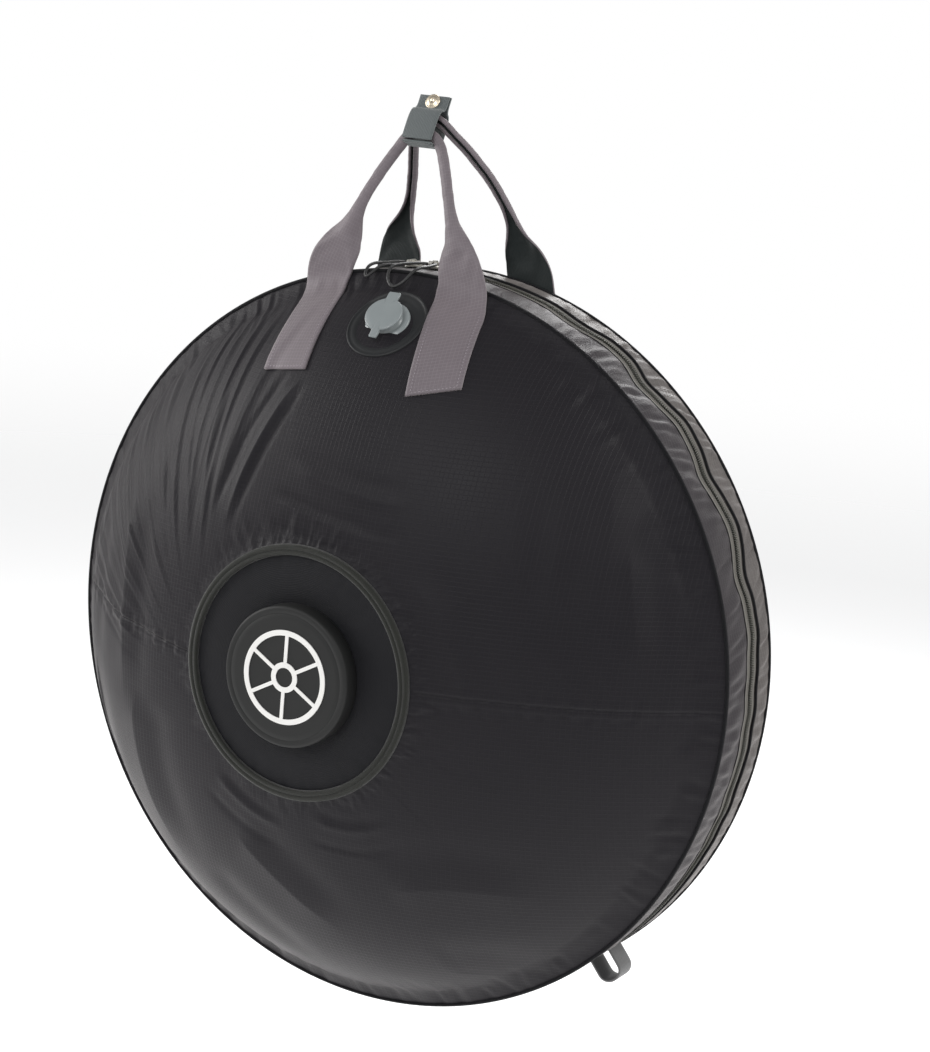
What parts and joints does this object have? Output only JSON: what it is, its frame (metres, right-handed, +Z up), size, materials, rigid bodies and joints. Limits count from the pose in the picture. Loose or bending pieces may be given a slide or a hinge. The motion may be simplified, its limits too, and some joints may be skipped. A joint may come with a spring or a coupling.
{
  "type": "round zipped wheel bag",
  "caption": "Round zipped travel bag for a bicycle wheel, with an air-filled front wall, padded hub, valve, hinged front shell and two carrying handles in a snap wrap.",
  "frame": {"origin": "middle of the gusset on the wheel's axle line", "axes": "+Y along the axle towards the rear shell, so the front faces -Y; +Z up towards the handles; +X to the right seen from the front"},
  "size_m": [0.7264, 0.3767, 0.8894],
  "materials": {
    "shell_cloth": "plain-woven nylon ripstop, soft sheen",
    "lining_cloth": "smooth woven lining",
    "foam": "closed-cell foam sheet",
    "bladder_film": "welded plastic film",
    "binding_tape": "ribbed binding tape",
    "hub_cloth": "fine woven padded cloth",
    "hub_cap_skin": "moulded soft-touch cap",
    "emblem_print": "white transfer",
    "guard_board": "stiff plastic board",
    "seam_cord": "covered seam cord",
    "gusset_cloth": "padded nylon",
    "zip_tape": "olive-grey knitted zip tape",
    "zip_coil": "nylon coil",
    "zip_metal": "polished die-cast metal",
    "pull_cord": "braided black cord",
    "handle_cloth": "mauve-grey nylon, stitched edges",
    "wrap_cloth": "slate-grey webbing",
    "snap_brass": "champagne snap fastener",
    "valve_plastic": "moulded grey-green plastic",
    "valve_rubber": "soft black rubber",
    "patch_film": "welded black patch",
    "loop_webbing": "grey webbing"
  },
  "bodies": {
    "rear_shell": {"bottom_loop": "loop_webbing", "rear_panel_upper": "shell_cloth", "rear_panel_lower": "shell_cloth", "rear_foam_pad": "foam", "rear_lining": "lining_cloth", "rear_hub_binding": "binding_tape", "rear_hub_pad": "hub_cloth", "rear_hub_cap": "hub_cap_skin", "rear_hub_guard": "guard_board", "rear_piping": "seam_cord", "rear_gusset": "gusset_cloth", "zip_tape_rear": "zip_tape", "zip_coil_rear": "zip_coil", "hinge_band": "gusset_cloth", "zip_end_stops": "zip_metal", "rear_handle_tabs": "handle_cloth"},
    "front_shell": {"front_panel_upper": "shell_cloth", "front_panel_lower": "shell_cloth", "front_air_bladder": "bladder_film", "front_lining": "lining_cloth", "front_hub_binding": "binding_tape", "front_hub_pad": "hub_cloth", "front_hub_cap": "hub_cap_skin", "front_hub_guard": "guard_board", "front_piping": "seam_cord", "front_gusset": "gusset_cloth", "zip_tape_front": "zip_tape", "zip_coil_front": "zip_coil", "front_emblem": "emblem_print", "valve_patch": "patch_film", "valve_base": "valve_plastic", "valve_flap": "valve_rubber", "front_handle_tabs": "handle_cloth"},
    "valve_lid": {"valve_cap": "valve_plastic"},
    "left_slider": {"slider_left": "zip_metal"},
    "right_slider": {"slider_right": "zip_metal"},
    "left_pull": {"pull_link_left": "zip_metal", "pull_cord_left": "pull_cord"},
    "right_pull": {"pull_link_right": "zip_metal", "pull_cord_right": "pull_cord"},
    "front_carry_loop": {"front_handle": "handle_cloth"},
    "rear_carry_loop": {"rear_handle": "handle_cloth", "wrap_base": "wrap_cloth", "snap_stud": "snap_brass"},
    "wrap_closure": {"wrap_flap": "wrap_cloth", "snap_cap": "snap_brass"}
  },
  "joints": [
    {"name": "front_shell_open", "type": "hinge", "parent": "rear_shell", "child": "front_shell", "pos_m": [0, -0.006, -0.36], "axis": [1, 0, 0], "range_deg": [0, 100]},
    {"name": "left_slider_travel", "type": "hinge", "parent": "rear_shell", "child": "left_slider", "pos_m": [0, 0.0075, 0], "axis": [0, -1, 0], "range_deg": [0, 128]},
    {"name": "right_slider_travel", "type": "hinge", "parent": "rear_shell", "child": "right_slider", "pos_m": [0, 0.0075, 0], "axis": [0, 1, 0], "range_deg": [0, 136]},
    {"name": "left_pull_swing", "type": "hinge", "parent": "left_slider", "child": "left_pull", "pos_m": [-0.03575, 0.0075, 0.36465], "axis": [-0.9952, 0, -0.0976], "range_deg": [0, 165]},
    {"name": "right_pull_swing", "type": "hinge", "parent": "right_slider", "child": "right_pull", "pos_m": [-0.01151, 0.0075, 0.36622], "axis": [-0.9995, 0, -0.0314], "range_deg": [0, 165]},
    {"name": "front_handle_fold", "type": "hinge", "parent": "front_shell", "child": "front_carry_loop", "pos_m": [-0.0185, -0.056, 0.352], "axis": [0.9986, 0, 0.0523], "range_deg": [0, 62]},
    {"name": "rear_handle_fold", "type": "hinge", "parent": "rear_shell", "child": "rear_carry_loop", "pos_m": [-0.003, 0.056, 0.352], "axis": [-1, 0, 0], "range_deg": [0, 125]},
    {"name": "wrap_flap_open", "type": "hinge", "parent": "rear_carry_loop", "child": "wrap_closure", "pos_m": [-0.027, -0.0205, 0.48257], "axis": [1, 0, 0], "range_deg": [0, 110]},
    {"name": "valve_cap_open", "type": "hinge", "parent": "front_shell", "child": "valve_lid", "pos_m": [0.003, -0.0869, 0.34242], "axis": [-1, 0, 0], "range_deg": [0, 130]}
  ]
}
